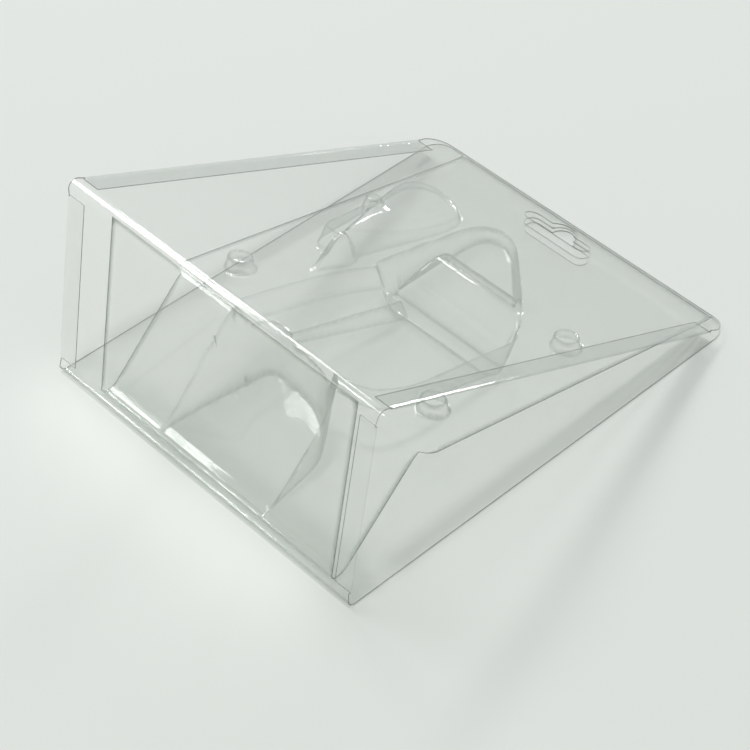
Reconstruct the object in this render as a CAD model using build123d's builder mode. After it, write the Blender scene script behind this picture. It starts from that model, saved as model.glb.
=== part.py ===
from build123d import *
import math
import os

os.makedirs("parts", exist_ok=True)

# A clear wedge-shaped display pack lying on its back: a folded film sleeve and a thermoformed tray in it.
# All lengths are in millimetres. +X is to the right, +Y towards the hang edge, +Z up.
# The origin is the middle of the sleeve's footprint, on the surface that it lies on.

# Sleeve: one sheet folded into a back panel, a base wall and a sloping front panel.
pack_width = 156.0
pack_depth = 197.0
ridge_height = 85.5
wall_lean = 14.5
sleeve_film = 0.4
fold_radius = 3.2
hang_corner_radius = 8.0
seam_gap = 0.1

# Hems: the side edges of the base wall and of the front panel are folded in.
hem_width = 8.0
hem_gap = 0.3
wall_hem_margin = 6.0
panel_hem_start = 6.0
panel_hem_end = 10.0

# Hang slot: a long hole with a hump towards the hang edge.
slot_length = 32.0
slot_width = 7.4
slot_hump_radius = 5.5
slot_hump_rise = 3.2
slot_setback = 12.0

# Tray: one thermoformed sheet with a sloping deck, a leaning leaf, a toe fold and a base leaf.
tray_width = 132.5
tray_shift = 3.8
tray_film = 0.4
tray_hang_margin = 1.0
brow_setback = 45.3
brow_height = 36.0
brow_radius = 4.5
toe_setback = 4.6
toe_width = 3.2
toe_radius = 0.8
leaf_margin = 4.3
deck_corner_radius = 5.0
base_leaf_drop = 6.5

# Forms pressed into the tray, square to its deck. Outlines are shares of the deck's width and length,
# counted from its left corner at the brow.
draft_angle = 5.0
cavity_corner_radius = 4.0
upper_outline_shares = [
    (0.285, 0.50),
    (0.285, 0.80),
    (0.315, 0.835),
    (0.415, 0.835),
    (0.72, 0.585),
    (0.757, 0.53),
    (0.757, 0.47),
]
well_outline_shares = [
    (0.232, -0.42),
    (0.232, 0.06),
    (0.258, 0.135),
    (0.50, 0.125),
    (0.60, 0.09),
    (0.70, 0.0),
    (0.73, -0.42),
]
shelf_outline_shares = [
    (0.20, 0.05),
    (0.24, 0.32),
    (0.285, 0.54),
    (0.45, 0.54),
    (0.42, 0.05),
]
ramp_outline_shares = [
    (0.37, 0.05),
    (0.43, 0.56),
    (0.757, 0.54),
    (0.757, 0.12),
    (0.70, 0.05),
]
shelf_drop = 9.0
ramp_high = 19.0
ramp_high_setback = 61.4
ramp_foot_setback = 119.8

# Forms that stand up: a half-round bar across the upper cavity and a tapering crown beside it.
bar_radius = 13.5
bar_setback = 133.6
bar_start_share = 0.30
bar_end_share = 0.735
crown_outline_shares = [
    (0.047, 0.475),
    (0.047, 0.76),
    (0.085, 0.80),
    (0.175, 0.80),
    (0.225, 0.75),
    (0.222, 0.42),
    (0.222, 0.31),
    (0.16, 0.325),
    (0.10, 0.385),
]
crown_corner_radius = 3.5
crown_draft = 9.0
crown_nose_setback = 88.5
crown_nose_height = 26.0
crown_peak_setback = 104.0
crown_peak_height = 35.0
crown_tail_setback = 163.0
crown_tail_height = 13.6

# Snap studs on the deck.
stud_radius = 6.0
stud_height = 5.5
stud_draft = 18.0
stud_shares = [(0.105, 0.135), (0.865, 0.135), (0.865, 0.59)]

# One overrun serves every cut.
overrun = 20.0

# Sizes worked out from the values above. The drawn corner at the base fold lies a little before the fold.
base_angle = math.atan2(ridge_height, wall_lean)
fold_loss = fold_radius / math.tan(base_angle / 2) - fold_radius
front = -pack_depth / 2 - fold_loss
back = pack_depth / 2
half_width = pack_width / 2
seat_level = sleeve_film + seam_gap
floor_level = seat_level + tray_film
panel_end_level = floor_level + seam_gap + sleeve_film
wall_length = math.hypot(wall_lean, ridge_height)
panel_run = pack_depth - wall_lean
panel_fall = ridge_height - panel_end_level
panel_length = math.hypot(panel_run, panel_fall)
deck_run = pack_depth - tray_hang_margin - brow_setback
deck_fall = brow_height - floor_level
deck_length = math.hypot(deck_run, deck_fall)
deck_left = tray_shift - tray_width / 2
base_leaf_top = ridge_height - base_leaf_drop
base_leaf_lean = wall_lean * base_leaf_top / ridge_height

wall_plane = Plane(origin=(0, front, 0), x_dir=(1, 0, 0), z_dir=(0, -ridge_height, wall_lean))
panel_plane = Plane(origin=(0, front + wall_lean, ridge_height), x_dir=(1, 0, 0), z_dir=(0, panel_fall, panel_run))
deck_plane = Plane(
    origin=(deck_left, front + brow_setback, brow_height), x_dir=(1, 0, 0), z_dir=(0, deck_fall, deck_run)
)


def side_plane(x):
    """A plane square to the pack's width at x, whose own axes are the pack's Y and Z."""
    return Plane(origin=(x, 0, 0), x_dir=(0, 1, 0), z_dir=(1, 0, 0))


def inset_corners(points, distance):
    """Moves an open run of points sideways, to its left, by a distance."""
    moved = []
    for index, point in enumerate(points):
        before = points[max(index - 1, 0)]
        after = points[min(index + 1, len(points) - 1)]
        first = Vector(*point) - Vector(*before) if index > 0 else Vector(*after) - Vector(*point)
        second = Vector(*after) - Vector(*point) if index < len(points) - 1 else first
        first_normal = Vector(-first.Y, first.X).normalized()
        second_normal = Vector(-second.Y, second.X).normalized()
        bisector = (first_normal + second_normal).normalized()
        reach = distance / bisector.dot(first_normal)
        moved.append((point[0] + bisector.X * reach, point[1] + bisector.Y * reach))
    return moved


def film_outline(points, radii, inset_radii, film):
    """The outline of a sheet folded along a run of points, with its other face to the run's left."""
    near = FilletPolyline(*points, radius=radii)
    far = FilletPolyline(*inset_corners(points, film), radius=inset_radii)
    Line(near @ 0, far @ 0)
    Line(near @ 1, far @ 1)


# The folded sleeve, cut to its rounded hang corners and punched for the hang slot.
def add_hems(plane, length, start, end):
    """Folds both side edges of a flat panel in, as strips joined to it at their outer edge."""
    strip_length = length - start - end
    strip_middle = start + strip_length / 2
    strip_depth = sleeve_film * 2 + hem_gap
    edge_offset = half_width - sleeve_film / 2
    strip_offset = half_width - hem_width / 2
    with BuildSketch(plane.offset(-strip_depth)) as strips:
        with Locations((-strip_offset, strip_middle), (strip_offset, strip_middle)):
            Rectangle(hem_width, strip_length)
    extrude(strips.sketch, amount=sleeve_film)
    with BuildSketch(plane.offset(-strip_depth)) as folds:
        with Locations((-edge_offset, strip_middle), (edge_offset, strip_middle)):
            Rectangle(sleeve_film, strip_length)
    extrude(folds.sketch, amount=strip_depth)


def punch_hang_slot():
    """Cuts the hang slot: a round-ended slot and a round hump on its hang side."""
    with BuildSketch(Plane.XY.offset(-overrun)) as slot:
        with Locations((0, back - slot_setback)):
            SlotOverall(slot_length, slot_width)
        with Locations((0, back - slot_setback + slot_hump_rise)):
            Circle(slot_hump_radius)
    extrude(slot.sketch, amount=ridge_height + overrun, mode=Mode.SUBTRACT)


sleeve_corners = [(back, panel_end_level), (front + wall_lean, ridge_height), (front, 0), (back, 0)]

with BuildPart() as sleeve:
    with BuildSketch(side_plane(-half_width)):
        with BuildLine():
            film_outline(
                sleeve_corners,
                [fold_radius, fold_radius],
                [fold_radius - sleeve_film, fold_radius - sleeve_film],
                sleeve_film,
            )
        make_face()
    extrude(amount=pack_width)
    add_hems(wall_plane, wall_length, wall_hem_margin, wall_hem_margin)
    add_hems(panel_plane, panel_length, panel_hem_start, panel_hem_end)
    with BuildSketch(Plane.XY.offset(-overrun)) as footprint:
        with Locations((0, -overrun / 2)):
            Rectangle(pack_width, pack_depth + overrun)
        fillet(footprint.vertices().group_by(Axis.Y)[-1], radius=hang_corner_radius)
    extrude(amount=ridge_height + overrun * 2, mode=Mode.INTERSECT)
    punch_hang_slot()

sleeve.part.label = "sleeve"
export_step(sleeve.part, "parts/sleeve.step")


# The tray: its folded sheet, the pressed cavities and the forms that stand up in them.
film_corners = [
    (back - tray_hang_margin, floor_level),
    (front + brow_setback, brow_height),
    (front + toe_setback + toe_width, floor_level),
    (front + toe_setback, floor_level),
    (front + toe_setback + base_leaf_lean, base_leaf_top),
]


def deck_outline(shares, corner_radius, grow):
    """An outline on the deck from clockwise shares of its width and length, grown sideways."""
    with BuildSketch(deck_plane) as outline:
        with BuildLine():
            Polyline(*[(across * tray_width, along * deck_length) for across, along in reversed(shares)], close=True)
        make_face()
        fillet(outline.vertices(), radius=corner_radius)
        if grow != 0:
            offset(amount=grow, kind=Kind.ARC)
    return outline.sketch


def side_view(points, half_span):
    """A block square to the pack's width with a closed side-view outline."""
    with BuildPart(mode=Mode.PRIVATE) as block:
        with BuildSketch(side_plane(tray_shift - half_span)):
            with BuildLine():
                Polyline(*points, close=True)
            make_face()
        extrude(amount=half_span * 2)
    return block.part


def space_above(run, drop):
    """The space over a run of side-view floor points, lowered."""
    lowered = [(y, z - drop) for y, z in run]
    ends = [(back + overrun, lowered[-1][1]), (back + overrun, pack_depth), (lowered[0][0], pack_depth)]
    return side_view([*lowered, *ends], pack_width)


def cavity(shares, grow, run):
    """A tapered cavity sunk square to the deck as far as a run of side-view floor points."""
    with BuildPart(mode=Mode.PRIVATE) as space:
        outline = deck_outline(shares, cavity_corner_radius, grow)
        extrude(outline, amount=brow_height * 2, dir=-deck_plane.z_dir, taper=draft_angle)
        extrude(outline, amount=overrun, dir=deck_plane.z_dir)
        add(space_above(run, grow), mode=Mode.INTERSECT)
    return space.part


def cavities(grow):
    """All the cavities together: the well, the shelf and the ramp behind it, and the upper cavity."""
    slope = deck_fall / deck_run
    shelf_high = brow_height - shelf_drop
    shelf_foot = front + brow_setback + (shelf_high - floor_level) / slope
    flat_run = [(front + toe_setback + toe_width / 2, floor_level), (back, floor_level)]
    shelf_run = [(front, shelf_high + slope * brow_setback), (shelf_foot, floor_level)]
    ramp_run = [(front, ramp_high), (front + ramp_high_setback, ramp_high), (front + ramp_foot_setback, floor_level)]
    with BuildPart(mode=Mode.PRIVATE) as spaces:
        add(cavity(well_outline_shares, grow, flat_run))
        add(cavity(upper_outline_shares, grow, flat_run))
        add(cavity(shelf_outline_shares, grow, shelf_run))
        add(cavity(ramp_outline_shares, grow, ramp_run))
    return spaces.part


def bar(shrink):
    """The half-round bar across the upper cavity, shrunk by the film."""
    start = deck_left + bar_start_share * tray_width + shrink
    end = deck_left + bar_end_share * tray_width - shrink
    with BuildPart(mode=Mode.PRIVATE) as form:
        with BuildSketch(side_plane(start)):
            with Locations((front + bar_setback, seat_level)):
                Circle(bar_radius - shrink)
        extrude(amount=end - start)
    return form.part


def crown(shrink):
    """The tapering crown on the deck, shrunk by the film."""
    outline = deck_outline(crown_outline_shares, crown_corner_radius, -shrink)
    tail_slope = (crown_peak_height - crown_tail_height) / (crown_tail_setback - crown_peak_setback)
    run = [
        (front + crown_nose_setback, crown_nose_height),
        (front + crown_peak_setback, crown_peak_height),
        (front + crown_tail_setback, crown_tail_height),
    ]
    top = inset_corners(run, -shrink)
    ends = [(back, top[-1][1] - (back - top[-1][0]) * tail_slope)]
    with BuildPart(mode=Mode.PRIVATE) as form:
        extrude(outline, amount=overrun, dir=deck_plane.z_dir, taper=crown_draft)
        if shrink > 0:
            extrude(outline, amount=shrink, dir=-deck_plane.z_dir)
        add(side_view([*top, *ends, (back, -overrun), (top[0][0], -overrun)], pack_width), mode=Mode.INTERSECT)
    return form.part


def studs(shrink):
    """The tapered snap studs on the deck, shrunk by the film."""
    with BuildPart(mode=Mode.PRIVATE) as forms:
        for across, along in stud_shares:
            with BuildSketch(deck_plane.offset(-shrink)) as foot:
                with Locations((across * tray_width, along * deck_length)):
                    Circle(stud_radius - shrink)
            extrude(foot.sketch, amount=stud_height, taper=stud_draft)
    return forms.part


# The block that the cavities are pressed from ends at the deck, at the leaf and on the tray's seat.
block_outline = [
    (back - tray_hang_margin, seat_level),
    (back - tray_hang_margin, floor_level),
    (front + brow_setback, brow_height),
    (front + toe_setback + toe_width, floor_level),
    (front + toe_setback + toe_width, seat_level),
]
walls = cavities(tray_film)

with BuildPart() as tray:
    with BuildSketch(side_plane(deck_left)):
        with BuildLine():
            film_outline(
                film_corners,
                [brow_radius, toe_radius, toe_radius],
                [brow_radius - tray_film, toe_radius + tray_film, toe_radius + tray_film],
                tray_film,
            )
        make_face()
    extrude(amount=tray_width)
    with BuildPart(mode=Mode.PRIVATE) as pressed:
        add(side_view(block_outline, tray_width / 2))
        add(walls, mode=Mode.INTERSECT)
    add(pressed.part)
    add(cavities(0), mode=Mode.SUBTRACT)
    with BuildPart(mode=Mode.PRIVATE) as raised_bar:
        add(bar(0))
        add(walls, mode=Mode.INTERSECT)
    add(raised_bar.part)
    add(crown(0))
    add(studs(0))
    add(bar(tray_film), mode=Mode.SUBTRACT)
    add(crown(tray_film), mode=Mode.SUBTRACT)
    add(studs(tray_film), mode=Mode.SUBTRACT)
    with BuildSketch(Plane.XY.offset(-overrun)) as plan:
        with Locations((tray_shift, front + brow_setback + pack_depth / 2)):
            Rectangle(tray_width, pack_depth)
        fillet(plan.vertices().group_by(Axis.Y)[0], radius=deck_corner_radius)
        with Locations((tray_shift, front + brow_setback)):
            Rectangle(tray_width - leaf_margin * 2, pack_depth)
    extrude(amount=ridge_height + overrun * 2, mode=Mode.INTERSECT)
    punch_hang_slot()

tray.part.label = "tray"
export_step(tray.part, "parts/tray.step")
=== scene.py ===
import math

import bmesh
import bpy
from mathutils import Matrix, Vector


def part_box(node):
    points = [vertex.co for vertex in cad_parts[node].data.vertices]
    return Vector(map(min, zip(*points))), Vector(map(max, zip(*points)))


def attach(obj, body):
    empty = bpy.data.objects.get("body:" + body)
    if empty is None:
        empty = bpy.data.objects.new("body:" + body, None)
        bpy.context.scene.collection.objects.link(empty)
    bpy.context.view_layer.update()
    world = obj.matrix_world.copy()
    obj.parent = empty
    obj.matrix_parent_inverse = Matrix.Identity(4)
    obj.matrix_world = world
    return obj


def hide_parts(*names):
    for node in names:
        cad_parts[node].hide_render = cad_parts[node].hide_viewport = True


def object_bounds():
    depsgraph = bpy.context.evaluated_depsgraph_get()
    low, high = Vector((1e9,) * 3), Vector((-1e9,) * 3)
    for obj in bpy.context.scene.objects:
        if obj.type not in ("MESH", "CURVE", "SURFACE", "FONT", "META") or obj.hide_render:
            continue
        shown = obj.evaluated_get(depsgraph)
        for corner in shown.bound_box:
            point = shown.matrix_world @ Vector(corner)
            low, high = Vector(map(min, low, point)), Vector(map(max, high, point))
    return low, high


# A clear wedge-shaped display pack on a pale table: a folded film sleeve and the thermoformed tray in it.
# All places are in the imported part's own frame. Sizes are in millimetres and are turned to metres once.
# Setbacks are counted from the corner at which the base wall and the back panel would meet if it were sharp.
mm = 0.001

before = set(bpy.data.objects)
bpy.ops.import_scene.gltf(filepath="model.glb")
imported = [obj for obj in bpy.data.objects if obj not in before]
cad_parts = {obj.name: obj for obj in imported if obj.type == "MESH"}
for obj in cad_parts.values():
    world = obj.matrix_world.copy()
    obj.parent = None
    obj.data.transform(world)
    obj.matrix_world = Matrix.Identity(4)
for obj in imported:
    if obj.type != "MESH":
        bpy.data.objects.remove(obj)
cad_low, cad_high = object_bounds()

# The sleeve's sizes.
pack_half = 78.0
ridge_height = 85.5
wall_lean = 14.5
lean_angle = math.atan2(wall_lean, ridge_height)
film = 0.4
fold_radius = 3.2
fold_turn = math.atan2(ridge_height, wall_lean)
front = cad_low.y / mm + fold_radius - fold_radius / math.tan(fold_turn / 2)
pack_depth = cad_high.y / mm - front
panel_gap = 0.1
hem_width = 8.0
hem_fold = 0.55
wall_hem_margin = 6.0
panel_hem_start = 6.0
panel_hem_end = 10.0
hang_corner_radius = 8.0
slot_length = 32.0
slot_width = 7.4
slot_setback = 12.0
hump_radius = 5.5
hump_rise = 3.2

# The tray's sizes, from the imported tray's box.
tray_low, tray_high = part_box("tray")
tray_middle = (tray_low.x + tray_high.x) / 2 / mm
deck_half = (tray_high.x - tray_low.x) / 2 / mm
leaf_margin = 4.3
deck_corner_radius = 5.0
seat_level = 0.9
hang_end = pack_depth - 1.0
brow_setback = 45.3
brow_height = 36.0
toe_back = 7.8
toe_front = 4.6
toe_radius = 2.2
base_leaf_top = tray_high.z / mm


# Small helpers for node materials.
def new_material(name):
    """A material with an empty node tree and its output."""
    material = bpy.data.materials.new(name)
    material.use_nodes = True
    nodes = material.node_tree.nodes
    nodes.clear()
    output = nodes.new("ShaderNodeOutputMaterial")
    return material, nodes, material.node_tree.links, output


def noise(nodes, links, scale, detail):
    """A soft noise over the piece, with a scale in cycles per metre."""
    texture = nodes.new("ShaderNodeTexNoise")
    texture.inputs["Scale"].default_value = scale
    texture.inputs["Detail"].default_value = detail
    links.new(nodes.new("ShaderNodeTexCoord").outputs["Object"], texture.inputs["Vector"])
    return texture.outputs["Fac"]


def span(nodes, links, source, low, high):
    """Maps a share from nought to one to a range."""
    node = nodes.new("ShaderNodeMapRange")
    node.inputs["To Min"].default_value = low
    node.inputs["To Max"].default_value = high
    links.new(source, node.inputs["Value"])
    return node.outputs["Result"]


def joined(nodes, links, operation, first, second):
    """Two values put together."""
    node = nodes.new("ShaderNodeMath")
    node.operation = operation
    for socket, value in zip(node.inputs, (first, second)):
        if isinstance(value, (int, float)):
            socket.default_value = value
        else:
            links.new(value, socket)
    return node.outputs["Value"]


def blended(nodes, links, share, first, second):
    """A colour between two tones."""
    node = nodes.new("ShaderNodeMix")
    node.data_type = "RGBA"
    node.inputs["A"].default_value = (*first, 1)
    node.inputs["B"].default_value = (*second, 1)
    links.new(share, node.inputs["Factor"])
    return node.outputs["Result"]


def layered(nodes, links, share, first, second):
    """One shader over another."""
    node = nodes.new("ShaderNodeMixShader")
    links.new(share, node.inputs["Fac"])
    links.new(first.outputs[0], node.inputs[1])
    links.new(second.outputs[0], node.inputs[2])
    return node


# Clear film: see-through face on, denser and glossier where it turns away, and darker along tight bends.
facing_blend = 0.5
turn_sharpness = 5.0
bend_sharpness = 2.0
densest_bend = 0.65
flat_pointiness = 0.5
gloss_sharpness = 5.0
gloss_face_on, gloss_edge_on = 0.035, 0.75
smoothest_gloss, roughest_gloss = 0.02, 0.05
haze_roughness = 0.35
mist_scale, mist_detail = 22.0, 3.0
thinnest_mist, thickest_mist = 0.8, 1.2
ripple_scale, ripple_detail = 40.0, 1.0
ripple_strength = 0.02
ripple_height = 1.0 * mm
edge_grain_scale, edge_grain_detail = 45.0, 2.0
edge_roughness = 0.25


def clear_film(name, face_tone, edge_tone, lamp_tone, haze_tone, face_haze, edge_haze, bend_gain):
    """One face of a thin clear sheet. Lamps that shine through it lose a little more than the eye does."""
    material, nodes, links, output = new_material(name)
    facing = nodes.new("ShaderNodeLayerWeight")
    facing.inputs["Blend"].default_value = facing_blend
    turned = facing.outputs["Facing"]
    steep = joined(nodes, links, "POWER", turned, turn_sharpness)
    pointed = nodes.new("ShaderNodeNewGeometry").outputs["Pointiness"]
    from_flat = joined(nodes, links, "SUBTRACT", pointed, flat_pointiness)
    bent = joined(nodes, links, "MULTIPLY", joined(nodes, links, "ABSOLUTE", from_flat, 0.0), bend_gain)
    line = joined(nodes, links, "MINIMUM", joined(nodes, links, "POWER", bent, bend_sharpness), densest_bend)
    dense = joined(nodes, links, "MAXIMUM", steep, line)
    mist = noise(nodes, links, mist_scale, mist_detail)

    bump = nodes.new("ShaderNodeBump")
    bump.inputs["Strength"].default_value = ripple_strength
    bump.inputs["Distance"].default_value = ripple_height
    links.new(noise(nodes, links, ripple_scale, ripple_detail), bump.inputs["Height"])

    clear = nodes.new("ShaderNodeBsdfTransparent")
    links.new(blended(nodes, links, dense, face_tone, edge_tone), clear.inputs["Color"])
    shaded = nodes.new("ShaderNodeBsdfTransparent")
    links.new(blended(nodes, links, steep, lamp_tone, edge_tone), shaded.inputs["Color"])

    body = nodes.new("ShaderNodeBsdfPrincipled")
    body.inputs["Base Color"].default_value = (*haze_tone, 1)
    body.inputs["Roughness"].default_value = haze_roughness

    shine = nodes.new("ShaderNodeBsdfGlossy")
    shine.inputs["Color"].default_value = (1, 1, 1, 1)
    links.new(span(nodes, links, mist, smoothest_gloss, roughest_gloss), shine.inputs["Roughness"])
    links.new(bump.outputs["Normal"], shine.inputs["Normal"])

    thickness = span(nodes, links, dense, face_haze, edge_haze)
    patches = span(nodes, links, mist, thinnest_mist, thickest_mist)
    haze = layered(nodes, links, joined(nodes, links, "MULTIPLY", thickness, patches), clear, body)
    grazing = joined(nodes, links, "POWER", turned, gloss_sharpness)
    reflected = span(nodes, links, grazing, gloss_face_on, gloss_edge_on)
    gloss = layered(nodes, links, reflected, haze, shine)

    rays = nodes.new("ShaderNodeLightPath")
    lamp_rays = joined(nodes, links, "MAXIMUM", rays.outputs["Is Shadow Ray"], rays.outputs["Is Diffuse Ray"])
    lit = layered(nodes, links, lamp_rays, gloss, shaded)
    links.new(lit.outputs["Shader"], output.inputs["Surface"])
    return material


def film_edge(name, dark_tone, light_tone, alpha):
    """The cut edge of a film, where light that runs along the sheet comes out darker."""
    material, nodes, links, output = new_material(name)
    body = nodes.new("ShaderNodeBsdfPrincipled")
    grain = noise(nodes, links, edge_grain_scale, edge_grain_detail)
    links.new(blended(nodes, links, grain, dark_tone, light_tone), body.inputs["Base Color"])
    body.inputs["Roughness"].default_value = edge_roughness
    body.inputs["Alpha"].default_value = alpha
    links.new(body.outputs["BSDF"], output.inputs["Surface"])
    return material


edge_green = (0.36, 0.41, 0.37)
lamp_tone = (0.98, 0.983, 0.98)
hem_lamp_tone = (0.6, 0.61, 0.6)
sleeve_haze = (0.74, 0.78, 0.74)
tray_haze = (0.66, 0.71, 0.67)
sleeve_film = clear_film(
    "sleeve clear film", (0.995, 0.997, 0.995), edge_green, lamp_tone, sleeve_haze,
    face_haze=0.004, edge_haze=0.2, bend_gain=1.5,
)
hem_film = clear_film(
    "sleeve hem film", (0.935, 0.943, 0.937), edge_green, hem_lamp_tone, tray_haze,
    face_haze=0.008, edge_haze=0.25, bend_gain=1.5,
)
tray_film = clear_film(
    "tray clear film", (0.993, 0.996, 0.993), edge_green, lamp_tone, tray_haze,
    face_haze=0.006, edge_haze=0.3, bend_gain=8.0,
)
cut_edge = film_edge("film cut edge", (0.1, 0.125, 0.11), (0.2, 0.235, 0.21), alpha=0.8)


# Making a thin sheet: a flat grid is bent to its run, gets its film's thickness and is then punched.
degrees_a_step = 9
fewest_steps = 4
punch_reach = 10
sharp_crease_degrees = 34


def run_of(corners, radii, spacing):
    """Points along straight stretches joined by arcs, as pairs of setback and height."""
    points = []
    start = Vector(corners[0])
    for index, radius in enumerate(radii, 1):
        corner, after = Vector(corners[index]), Vector(corners[index + 1])
        inward, onward = (corner - Vector(corners[index - 1])).normalized(), (after - corner).normalized()
        turn = inward.angle(onward)
        reach = radius * math.tan(turn / 2)
        end = corner - inward * reach
        points += stretch(start, end, spacing)
        side = 1 if inward.x * onward.y - inward.y * onward.x > 0 else -1
        square = Vector((-inward.y, inward.x)) * side
        steps = max(round(math.degrees(turn) / degrees_a_step), fewest_steps)
        for step in range(steps):
            angle = turn * step / steps
            points.append(end + inward * radius * math.sin(angle) + square * radius * (1 - math.cos(angle)))
        start = corner + onward * reach
    points += stretch(start, Vector(corners[-1]), spacing)
    return points + [Vector(corners[-1])]


def stretch(start, end, spacing):
    """Even points along a straight stretch, without its end."""
    count = max(round((end - start).length / spacing), 1)
    return [start.lerp(end, step / count) for step in range(count)]


def prism(outlines, low, high):
    """A closed upright block for each outline, for punching a sheet, with the cut edge's material."""
    shape = bmesh.new()
    for outline in outlines:
        ring = [shape.verts.new((x * mm, (front + y) * mm, low * mm)) for x, y in outline]
        made = bmesh.ops.extrude_face_region(shape, geom=[shape.faces.new(ring)])
        lifted = [item for item in made["geom"] if isinstance(item, bmesh.types.BMVert)]
        bmesh.ops.translate(shape, verts=lifted, vec=(0, 0, (high - low) * mm))
    bmesh.ops.recalc_face_normals(shape, faces=shape.faces)
    for face in shape.faces:
        face.material_index = 1
    mesh = bpy.data.meshes.new("punch")
    shape.to_mesh(mesh)
    shape.free()
    return mesh


def arc(x, y, radius, start, end, steps):
    """Points along an arc, with its angles in degrees."""
    angles = [math.radians(start + (end - start) * step / steps) for step in range(steps + 1)]
    return [(x + radius * math.cos(angle), y + radius * math.sin(angle)) for angle in angles]


def slot_outline():
    """The hang slot: round ends and a round hump on its hang side."""
    y = pack_depth - slot_setback
    end_radius = slot_width / 2
    end_x = slot_length / 2 - end_radius
    end_steps, hump_steps = 12, 14
    hump_start = math.degrees(math.asin((end_radius - hump_rise) / hump_radius))
    right_end = arc(end_x, y, end_radius, -90, 90, end_steps)
    hump = arc(0, y + hump_rise, hump_radius, hump_start, 180 - hump_start, hump_steps)
    left_end = arc(-end_x, y, end_radius, 90, 270, end_steps)
    return right_end + hump + left_end


def corner_outline(side):
    """What a rounded hang corner leaves off the sleeve."""
    radius, beyond, steps = hang_corner_radius, 3.0, 10
    middle_x, middle_y = pack_half - radius, pack_depth - radius
    inside = arc(middle_x, middle_y, radius, 0, 90, steps)
    outline = inside + [(middle_x, pack_depth + beyond), (pack_half + beyond, pack_depth + beyond)]
    outline.append((pack_half + beyond, middle_y))
    return [(side * x, y) for x, y in outline]


def finished_sheet(name, shape, outlines, faces, node):
    """Gives a bent sheet its thickness, punches it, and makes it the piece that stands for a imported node."""
    mesh = bpy.data.meshes.new(name)
    shape.to_mesh(mesh)
    shape.free()
    for material in faces:
        mesh.materials.append(material)
    sheet = bpy.data.objects.new(name + "_bent", mesh)
    punch_mesh = prism(outlines, -punch_reach, ridge_height + punch_reach)
    punch = bpy.data.objects.new(name + "_punch", punch_mesh)
    for material in faces:
        punch.data.materials.append(material)
    for item in (sheet, punch):
        bpy.context.scene.collection.objects.link(item)
    wall = sheet.modifiers.new("film", "SOLIDIFY")
    wall.thickness = film * mm
    wall.offset = -1
    wall.material_offset_rim = 1
    holes = sheet.modifiers.new("holes", "BOOLEAN")
    holes.object = punch
    holes.operation = "DIFFERENCE"
    holes.solver = "EXACT"
    graph = bpy.context.evaluated_depsgraph_get()
    made = bpy.data.meshes.new_from_object(sheet.evaluated_get(graph))
    made.name = name
    for polygon in made.polygons:
        polygon.use_smooth = True
    made.set_sharp_from_angle(angle=math.radians(sharp_crease_degrees))
    for item in (sheet, punch):
        bpy.data.objects.remove(item)
    piece = bpy.data.objects.new(name, made)
    bpy.context.scene.collection.objects.link(piece)
    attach(piece, "root")
    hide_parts(node)
    return piece


# The sleeve: one sheet folded at the ridge and at the base, with its side edges folded in as hems.
ridge_corner = Vector((wall_lean, ridge_height))
panel_end = Vector((pack_depth, seat_level + film + panel_gap))
base_corner = Vector((0, 0))
panel_way = (panel_end - ridge_corner).normalized()
wall_way = (base_corner - ridge_corner).normalized()
panel_length = (panel_end - ridge_corner).length
wall_length = (base_corner - ridge_corner).length
touching = 0.01
merge_distance = 0.01 * mm
sleeve_spacing = 3.0
sleeve_columns = 40
side_share = 0.999
beside_share = 1 - 3 / sleeve_columns
hem_steps = 6
flat_margin = 0.5
plain_index, hem_index = 0, 2


def hem_of(place):
    """The way in to the pack from a point of the run where the sheet has a hem, or none."""
    from_ridge = place - ridge_corner
    along = from_ridge.dot(panel_way)
    on_panel = abs(from_ridge.cross(panel_way)) < touching
    if on_panel and panel_hem_start < along < panel_length - panel_hem_end:
        return Vector((panel_way.y, -panel_way.x))
    along = from_ridge.dot(wall_way)
    on_wall = abs(from_ridge.cross(wall_way)) < touching
    if on_wall and wall_hem_margin < along < wall_length - wall_hem_margin:
        return Vector((-wall_way.y, wall_way.x))
    return None


def fold_hem(shape, side, rows, inward, film_index):
    """Turns the side edges between some rows in and under, as a narrow strip."""
    reach = pack_half - hem_fold
    strip = [
        edge
        for edge in shape.edges
        if all(vert.index in rows and abs(vert.co.x / mm - side * reach) < touching for vert in edge.verts)
    ]
    way = Vector((0, inward.x, inward.y))
    across, depth = reach, 0
    turns = [math.pi * step / hem_steps for step in range(1, hem_steps + 1)]
    places = [(reach + hem_fold * math.sin(turn), hem_fold * (1 - math.cos(turn))) for turn in turns]
    places += [(pack_half - inset, hem_fold * 2) for inset in (hem_fold * 2, hem_width / 2, hem_width)]
    for next_across, next_depth in places:
        made = bmesh.ops.extrude_edge_only(shape, edges=strip)["geom"]
        moved = [item for item in made if isinstance(item, bmesh.types.BMVert)]
        for item in made:
            if isinstance(item, bmesh.types.BMFace):
                item.material_index = film_index
        shift = Vector((side * (next_across - across), 0, 0)) + way * (next_depth - depth)
        bmesh.ops.translate(shape, verts=moved, vec=shift * mm)
        strip = [item for item in made if isinstance(item, bmesh.types.BMEdge) and item.is_boundary]
        strip = [edge for edge in strip if all(vert in moved for vert in edge.verts)]
        across, depth = next_across, next_depth


def sleeve_across(share, hem):
    """The place across of a grid column. The one beside the edge lies close to it, so faces stay flat."""
    if abs(share) > side_share:
        return math.copysign(pack_half - (hem_fold if hem else 0), share)
    if abs(share) > beside_share:
        return math.copysign(pack_half - hem_fold - flat_margin, share)
    return pack_half * share


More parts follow.
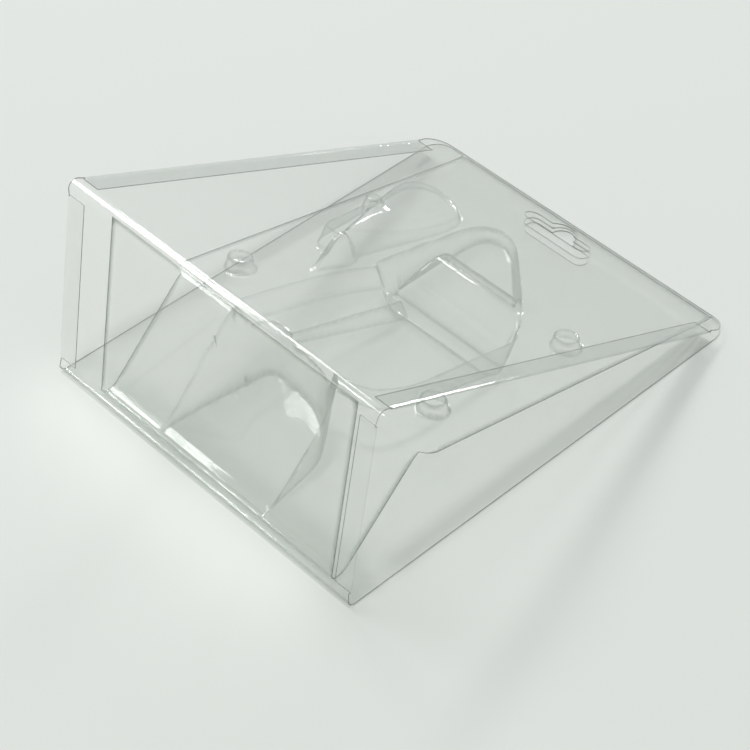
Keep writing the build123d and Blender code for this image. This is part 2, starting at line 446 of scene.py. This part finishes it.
def build_sleeve():
    """The sleeve: the front panel and both walls as one bent grid, then the hems, one by one."""
    corners = [panel_end, ridge_corner, base_corner, (pack_depth, 0)]
    run = run_of(corners, [fold_radius, fold_radius], sleeve_spacing)
    hems = [hem_of(place) for place in run]
    rows = len(run) - 1
    shape = bmesh.new()
    bmesh.ops.create_grid(shape, x_segments=sleeve_columns, y_segments=rows, size=1.0)
    groups = {}
    for index, vert in enumerate(shape.verts):
        vert.index = index
        row = round((1 - vert.co.y) / 2 * rows)
        place, hem = run[row], hems[row]
        at_side = abs(vert.co.x) > side_share
        across = sleeve_across(vert.co.x, hem)
        vert.co = Vector((across * mm, (front + place.x) * mm, place.y * mm))
        if hem and at_side:
            groups.setdefault((1 if vert.co.x > 0 else -1, hem.to_tuple(3)), (hem, set()))[1].add(index)
    for (side, _), (hem, members) in groups.items():
        on_panel = abs(hem.y) > abs(hem.x)
        fold_hem(shape, side, members, hem, hem_index if on_panel else plain_index)
    bmesh.ops.remove_doubles(shape, verts=shape.verts, dist=merge_distance)
    outlines = [slot_outline(), corner_outline(1), corner_outline(-1)[::-1]]
    films = (sleeve_film, cut_edge, hem_film, cut_edge)
    return finished_sheet("sleeve_sheet", shape, outlines, films, "sleeve")


build_sleeve()


# The tray's forms, as clockwise outlines of places across and setbacks.
def sides_of(outline):
    """The half planes that bound a clockwise convex outline."""
    sides = []
    for (ax, ay), (bx, by) in zip(outline, outline[1:] + outline[:1]):
        length = math.hypot(bx - ax, by - ay)
        across, along = (ay - by) / length, (bx - ax) / length
        sides.append((across, along, -(ax * across + ay * along)))
    return sides


well = sides_of(
    [(-30, -20), (-29, 20), (-23.5, 57.6), (3, 56), (12, 51), (22.5, 40.6), (28, 14), (29.5, -20)]
)
upper = sides_of([(-22, 112), (-22, 164), (-18, 169), (-8, 169), (31, 131), (35.5, 123), (35.5, 112)])
shelf = sides_of([(-36, 50), (-31, 86), (-25, 98), (-22, 124), (6, 124), (-4, 50)])
ramp = sides_of([(-16, 52), (-5.5, 124), (35.5, 121), (35.5, 66), (30, 56), (12, 52)])
crown = sides_of([(-47, 100), (-57, 160), (-52, 166), (-38, 167), (-27, 161), (-25, 152), (-32.5, 100)])

# Drafts are the rise of a wall for each millimetre across it. Rounds are how far two faces blend in height.
wall_draft, shelf_draft, ramp_draft = 7.0, 3.0, 5.0
well_corner, shelf_corner, ramp_corner, upper_corner = 5.0, 6.0, 5.0, 6.0
rim_round, floor_round = 1.6, 2.0
rim_reach = 12
shelf_drop = 9
ramp_top, ramp_start, ramp_fall = 19, 61.4, 0.31

# The deck, the leaf that falls from the brow to the toe, and their blends.
brow_round = 4.0
toe_blend = 2.0
leaf_start = toe_back + toe_blend
deck_slope = (brow_height - seat_level) / (hang_end - brow_setback)
leaf_slope = (brow_height - seat_level) / (brow_setback - leaf_start)

# The half-round bar over the upper cavity.
bar_setback = 133.6
bar_radius = 13.5
bar_start, bar_end = -21.0, 34.0
bar_margin = 3
left_end_draft, left_end_lift, left_end_round = 2.4, 4, 3.0
right_end_draft, right_end_lift, right_end_round = 5, 5, 2.0
bar_over_deck, bar_top_round, bar_foot_round = 0.3, 1.0, 3.2

# The crown: its top falls to the hang edge, and its crest and its foot draw apart from left to right.
crown_box = (-62, -18, 84, 170)
crown_top, crown_start, crown_fall = 35.0, 104.0, 0.363
crest_side, crest_start, crest_turn = -33.4, 103.0, 0.425
foot_side, foot_turn = -32.0, 0.15
crest_width, crest_drop = 1.6, 2.6
crown_corner, crown_draft, crown_round = 5.0, 4.0, 2.5
nose_start, nose_slope, nose_height, nose_round = 88.0, 1.05, 12.4, 3.0
nose_side, nose_half, nose_side_fall, nose_end_fall = -33.6, 1.0, 3.0, 2
nose_blend, crown_foot_round = 2.0, 1.4

# Snap studs, and the small knob on the crown's left step.
stud_places = [(-48.6, 65.5), (52.3, 65.5), (52.3, 134.0)]
stud_radius, stud_height, stud_draft = 6.0, 5.5, 5
stud_skirt, stud_sink, stud_round, stud_foot_round = 2, 1, 1.4, 0.8
knob_side, knob_setback, knob_level = -46.5, 131, 9.5
knob_radius, knob_height, knob_draft = 3.6, 2.2, 3
knob_reach, knob_round, knob_foot_round = 4.5, 1.0, 0.6


def least(first, second, blend):
    """The smaller of two values, with a rounded change between them."""
    near = max(blend - abs(first - second), 0) / blend
    return min(first, second) - near * near * blend / 4


def most(first, second, blend):
    """The larger of two values, with a rounded change between them."""
    return -least(-first, -second, blend)


def outside(sides, x, y, corner):
    """How far a place lies outside an outline, below zero inside it, with rounded corners."""
    reach = -math.inf
    for across, along, offset in sides:
        reach = most(reach, across * x + along * y + offset, corner)
    return reach


def deck_height(y):
    """The height of the bare deck at a setback."""
    return seat_level + (hang_end - y) * deck_slope


def crown_height(x, y, deck):
    """The tapering crown: a long rounded back that runs from a sharp nose, and a lower step on its left."""
    top = crown_top - (y - crown_start) * crown_fall
    rise = top - deck
    crest = crest_side - max(y - crest_start, 0) * crest_turn
    foot = foot_side + max(y - crown_start, 0) * foot_turn
    fall = (x - crest) / (foot - crest + crest_width)
    if fall >= 0:
        back = deck + rise * math.sqrt(max(1 - min(fall, 1) ** 2, 0))
    else:
        back = top - crest_drop * min((crest - x) / crest_width, 1) ** 2
    flank = deck - outside(crown, x, y, crown_corner) * crown_draft
    body = least(back, flank, crown_round)
    nose = deck + least((y - nose_start) * nose_slope, nose_height, nose_round)
    nose -= nose_side_fall * max(abs(x - nose_side) - nose_half, 0) + nose_end_fall * max(y - crown_start, 0)
    return most(body, nose, nose_blend)


def bar_height(x, y, base):
    """The half-round bar, cut off by a gentle left end and a steep right end, and never below the deck."""
    roof = math.sqrt(bar_radius ** 2 - (y - bar_setback) ** 2) + seat_level
    roof = least(roof, (x - bar_start) * left_end_draft + left_end_lift, left_end_round)
    roof = least(roof, (bar_end - x) * right_end_draft + right_end_lift, right_end_round)
    return least(roof, base + bar_over_deck, bar_top_round)


def tray_height(x, y):
    """The height of the tray's upper face at a place across and a setback."""
    deck = deck_height(y)
    leaf = seat_level + (y - leaf_start) * leaf_slope
    base = most(least(deck, leaf, brow_round), seat_level, toe_blend)
    height = base
    shelf_level = most(deck - shelf_drop, seat_level, floor_round)
    ramp_level = most(ramp_top - (y - ramp_start) * ramp_fall, seat_level, floor_round)
    for sides, level, draft, corner in (
        (well, seat_level, wall_draft, well_corner),
        (shelf, shelf_level, shelf_draft, shelf_corner),
        (ramp, ramp_level, ramp_draft, ramp_corner),
        (upper, seat_level, wall_draft, upper_corner),
    ):
        away = outside(sides, x, y, corner)
        if away < rim_reach:
            height = least(height, most(level, level + away * draft, floor_round), rim_round)
    if abs(y - bar_setback) < bar_radius and bar_start - bar_margin < x < bar_end + bar_margin:
        height = most(height, bar_height(x, y, base), bar_foot_round)
    left, right, near, far = crown_box
    if left < x < right and near < y < far:
        height = most(height, crown_height(x, y, deck), crown_foot_round)
    for stud_x, stud_y in stud_places:
        away = math.hypot(x - stud_x, y - stud_y)
        if away < stud_radius + stud_skirt:
            stud = least(stud_height, (stud_radius - away) * stud_draft - stud_sink, stud_round)
            height = most(height, base + stud, stud_foot_round)
    away = math.hypot(x - knob_side, y - knob_setback)
    if away < knob_reach:
        knob = least(knob_height, (knob_radius - away) * knob_draft, knob_round)
        height = most(height, deck + knob_level + knob, knob_foot_round)
    return height


def half_width(y):
    """Half the tray's width: the deck stands out past the leaves, with rounded corners."""
    into = min(max(y - brow_setback, 0), deck_corner_radius)
    round_off = deck_corner_radius - math.sqrt(deck_corner_radius ** 2 - (deck_corner_radius - into) ** 2)
    return max(deck_half - round_off, deck_half - leaf_margin)


def tray_place(across, run):
    """The place of a point of the flat sheet, by its share across and its length from the hang edge."""
    toe_run = hang_end - toe_back
    if run <= toe_run:
        y = hang_end - run
        x = tray_middle + across * half_width(y)
        return Vector((x, front + y, tray_height(x, y)))
    x = tray_middle + across * (deck_half - leaf_margin)
    rest = run - toe_run
    flat = toe_back - toe_front - toe_radius
    bend = toe_radius * (math.pi / 2 - lean_angle)
    if rest < flat:
        return Vector((x, front + toe_back - rest, seat_level))
    turn = min((rest - flat) / toe_radius, math.pi / 2 - lean_angle)
    y = toe_front + toe_radius - toe_radius * math.sin(turn)
    z = seat_level + toe_radius - toe_radius * math.cos(turn)
    climb = max(rest - flat - bend, 0)
    return Vector((x, front + y + climb * math.sin(lean_angle), z + climb * math.cos(lean_angle)))


def bends(face, hair, places):
    """Whether the sheet's surface leaves the flat of a grid face by more than a hair."""
    corners = [places(vert.co) for vert in face.verts]
    middle = places(face.calc_center_median())
    if (middle - sum(corners, Vector()) / len(corners)).length > hair:
        return True
    for vert, after in zip(face.verts, list(face.verts)[1:] + [face.verts[0]]):
        between = places((vert.co + after.co) / 2)
        if (between - (places(vert.co) + places(after.co)) / 2).length > hair:
            return True
    return False


def build_tray():
    """The tray as one sheet: a grid that is divided where its forms bend, then bent to them."""
    length = hang_end - toe_front - toe_radius + toe_radius * (math.pi / 2 - lean_angle)
    length += (base_leaf_top - seat_level - toe_radius) / math.cos(lean_angle)
    step, divisions, hair = 2.0, 2, 0.05
    columns, rows = round(deck_half * 2 / step), round(length / step)
    shape = bmesh.new()
    bmesh.ops.create_grid(shape, x_segments=columns, y_segments=rows, size=1.0)
    known = {}

    def places(co):
        key = (round(co.x, 6), round(co.y, 6))
        if key not in known:
            known[key] = tray_place(co.x, (1 - co.y) / 2 * length)
        return known[key]

    for _ in range(divisions):
        bent = [face for face in shape.faces if len(face.verts) == 4 and bends(face, hair, places)]
        edges = list({edge for face in bent for edge in face.edges})
        bmesh.ops.subdivide_edges(shape, edges=edges, cuts=1, use_grid_fill=True)
    for vert in shape.verts:
        vert.co = places(vert.co) * mm
    return finished_sheet("tray_sheet", shape, [slot_outline()], (tray_film, cut_edge), "tray")


build_tray()


# Table top.
table_reach = 6.0
table_dark, table_light = (0.74, 0.765, 0.735), (0.76, 0.785, 0.755)
table_grain_scale, table_grain_detail = 2.0, 1.0
table_roughness = 0.9


def pale_table():
    """A matt pale table with a faint change of tone."""
    material, nodes, links, output = new_material("pale table")
    body = nodes.new("ShaderNodeBsdfPrincipled")
    body.inputs["Roughness"].default_value = table_roughness
    body.inputs["Specular IOR Level"].default_value = 0.0
    grain = noise(nodes, links, table_grain_scale, table_grain_detail)
    links.new(blended(nodes, links, grain, table_dark, table_light), body.inputs["Base Color"])
    links.new(body.outputs["BSDF"], output.inputs["Surface"])
    return material


bpy.ops.mesh.primitive_plane_add(size=table_reach * 2, location=(0, 0, 0))
table = bpy.context.object
table.name = "table"
table.data.materials.append(pale_table())


# Light: an even pale room, lamps at the back left and overhead, and the base wall's own glow on the table.
room_tone = (0.95, 0.965, 0.955)
room_light, room_in_gloss = 0.38, 0.84
glow_width, glow_depth, glow_power = 0.145, 0.03, 0.0065
glow_place = (-0.006, -0.101, 0.022)
glow_way = (0, -0.7, -0.71)


def room(lighting, seen):
    """The room's even light, and the brightness that shows in the film's gloss."""
    world = bpy.data.worlds.new("room")
    world.use_nodes = True
    nodes, links = world.node_tree.nodes, world.node_tree.links
    background = nodes["Background"]
    background.inputs["Color"].default_value = (*room_tone, 1)
    rays = nodes.new("ShaderNodeLightPath")
    strength = span(nodes, links, rays.outputs["Is Glossy Ray"], lighting, seen)
    links.new(strength, background.inputs["Strength"])
    bpy.context.scene.world = world


def lamp(name, place, way, width, height, power):
    """A rectangular lamp at a place that shines one way. Its width runs level and its height runs up."""
    light = bpy.data.lights.new(name, "AREA")
    light.shape = "RECTANGLE"
    light.size = width
    light.size_y = height
    light.energy = power
    fitting = bpy.data.objects.new(name, light)
    fitting.location = place
    fitting.rotation_euler = Vector(way).to_track_quat("-Z", "Y").to_euler()
    bpy.context.scene.collection.objects.link(fitting)
    return fitting


def soft_box(name, way, distance, width, height, power, mirrored=True):
    """A lamp some metres from the pack that faces it, seen in the film's gloss where it is mirrored."""
    place = Vector(way).normalized() * distance
    lamp(name, place, -place, width, height, power).visible_glossy = mirrored


def wall_glow():
    """The light that the base wall mirrors down to the table in front of it."""
    glow = lamp("wall glow", glow_place, glow_way, glow_width, glow_depth, glow_power)
    glow.visible_camera = False
    glow.visible_glossy = False
    glow.visible_transmission = False


# A soft box has its way from the pack. Its distance, width and height are in metres and its power in watts.
room(room_light, room_in_gloss)
soft_box("window", (-0.565, 0.645, 0.515), distance=5.0, width=0.66, height=0.62, power=38)
soft_box("low lamp", (-0.38, 0.905, 0.205), distance=4.0, width=0.46, height=0.3, power=26)
soft_box("wide box", (-0.62, 0.0, 0.785), distance=4.0, width=2.6, height=0.6, power=52)
soft_box("ceiling lamp", (0.02, -0.06, 1.0), distance=3.0, width=0.3, height=0.3, power=25, mirrored=False)
wall_glow()

# Camera at the photograph's place, from the fit of its edges.
camera_place = (0.4488, -0.4395, 0.6127)
camera_aim = (-0.513, 0.489, -0.706)
sensor_width = 36.0
photo_width = 750.0
focal_pixels = 2344.4
nearest_seen = 0.01

camera_data = bpy.data.cameras.new("camera")
camera_data.sensor_width = sensor_width
camera_data.lens = sensor_width * focal_pixels / photo_width
camera_data.clip_start = nearest_seen
camera = bpy.data.objects.new("camera", camera_data)
camera.location = camera_place
camera.rotation_euler = Vector(camera_aim).to_track_quat("-Z", "Y").to_euler()
bpy.context.scene.collection.objects.link(camera)
bpy.context.scene.camera = camera
bpy.context.scene.view_settings.view_transform = "Standard"

# A line of sight crosses both faces of up to ten layers of film.
bpy.context.scene.cycles.transparent_max_bounces = 64
